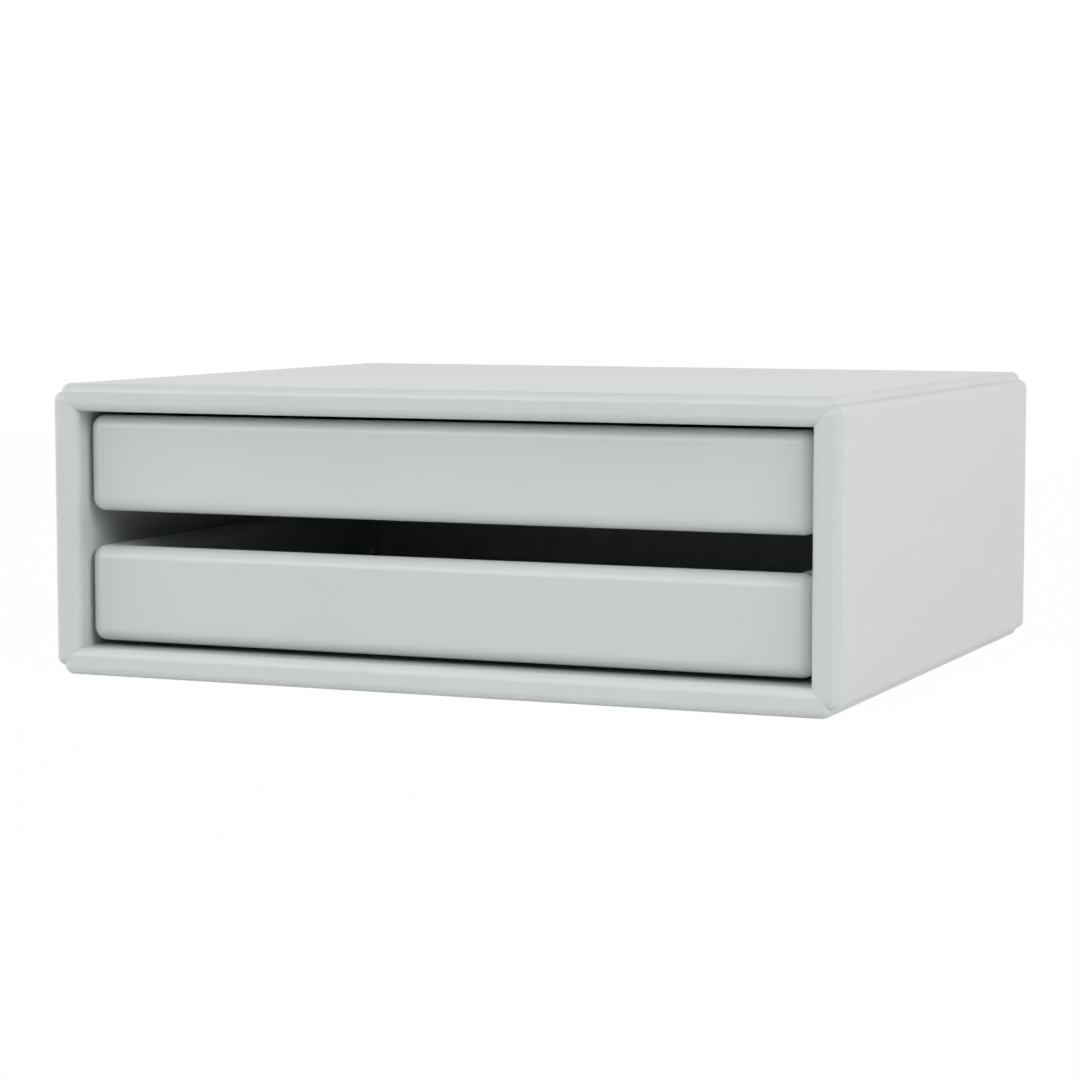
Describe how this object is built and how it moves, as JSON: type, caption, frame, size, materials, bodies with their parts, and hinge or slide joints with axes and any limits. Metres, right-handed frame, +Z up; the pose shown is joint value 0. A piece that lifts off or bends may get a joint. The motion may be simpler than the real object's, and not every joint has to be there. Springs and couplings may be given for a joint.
{
  "type": "letter tray stack with drawers",
  "caption": "Low lacquered board cabinet, open at the front, with sliding open-topped letter trays one above the other and a finger gap between them.",
  "frame": {"origin": "bottom centre of the cabinet, where it stands", "axes": "+X to the right across the front, -Y out of the open front, +Z up"},
  "size_m": [0.354, 0.3, 0.126],
  "materials": {
    "cabinet_lacquer": "satin lacquer, light grey, on fibreboard",
    "tray_lacquer": "satin lacquer, light grey, on fibreboard",
    "back_lacquer": "satin lacquer, light grey, on thin fibreboard",
    "tray_base_lacquer": "satin lacquer, light grey, on thin fibreboard",
    "tongue_board": "raw fibreboard strip",
    "runner_plastic": "moulded grey plastic, fine matt grain",
    "zinc_steel": "bright zinc plated"
  },
  "bodies": {
    "cabinet": {"top_panel": "cabinet_lacquer", "bottom_panel": "cabinet_lacquer", "left_side_panel": "cabinet_lacquer", "right_side_panel": "cabinet_lacquer", "back_panel": "back_lacquer", "lower_left_tongue": "tongue_board", "lower_left_runner": "runner_plastic", "lower_right_tongue": "tongue_board", "lower_right_runner": "runner_plastic", "upper_left_tongue": "tongue_board", "upper_left_runner": "runner_plastic", "upper_right_tongue": "tongue_board", "upper_right_runner": "runner_plastic", "runner_screws": "zinc_steel"},
    "lower_tray": {"lower_tray_front": "tray_lacquer", "lower_tray_rear": "tray_lacquer", "lower_tray_left_side": "tray_lacquer", "lower_tray_right_side": "tray_lacquer", "lower_tray_base": "tray_base_lacquer", "lower_tray_stop_pins": "zinc_steel"},
    "upper_tray": {"upper_tray_front": "tray_lacquer", "upper_tray_rear": "tray_lacquer", "upper_tray_left_side": "tray_lacquer", "upper_tray_right_side": "tray_lacquer", "upper_tray_base": "tray_base_lacquer", "upper_tray_stop_pins": "zinc_steel"}
  },
  "joints": [
    {"name": "upper_tray_slide", "type": "slide", "parent": "cabinet", "child": "upper_tray", "axis": [0, -1, 0], "range_m": [0, 0.168]},
    {"name": "lower_tray_slide", "type": "slide", "parent": "cabinet", "child": "lower_tray", "axis": [0, -1, 0], "range_m": [0, 0.168]}
  ]
}
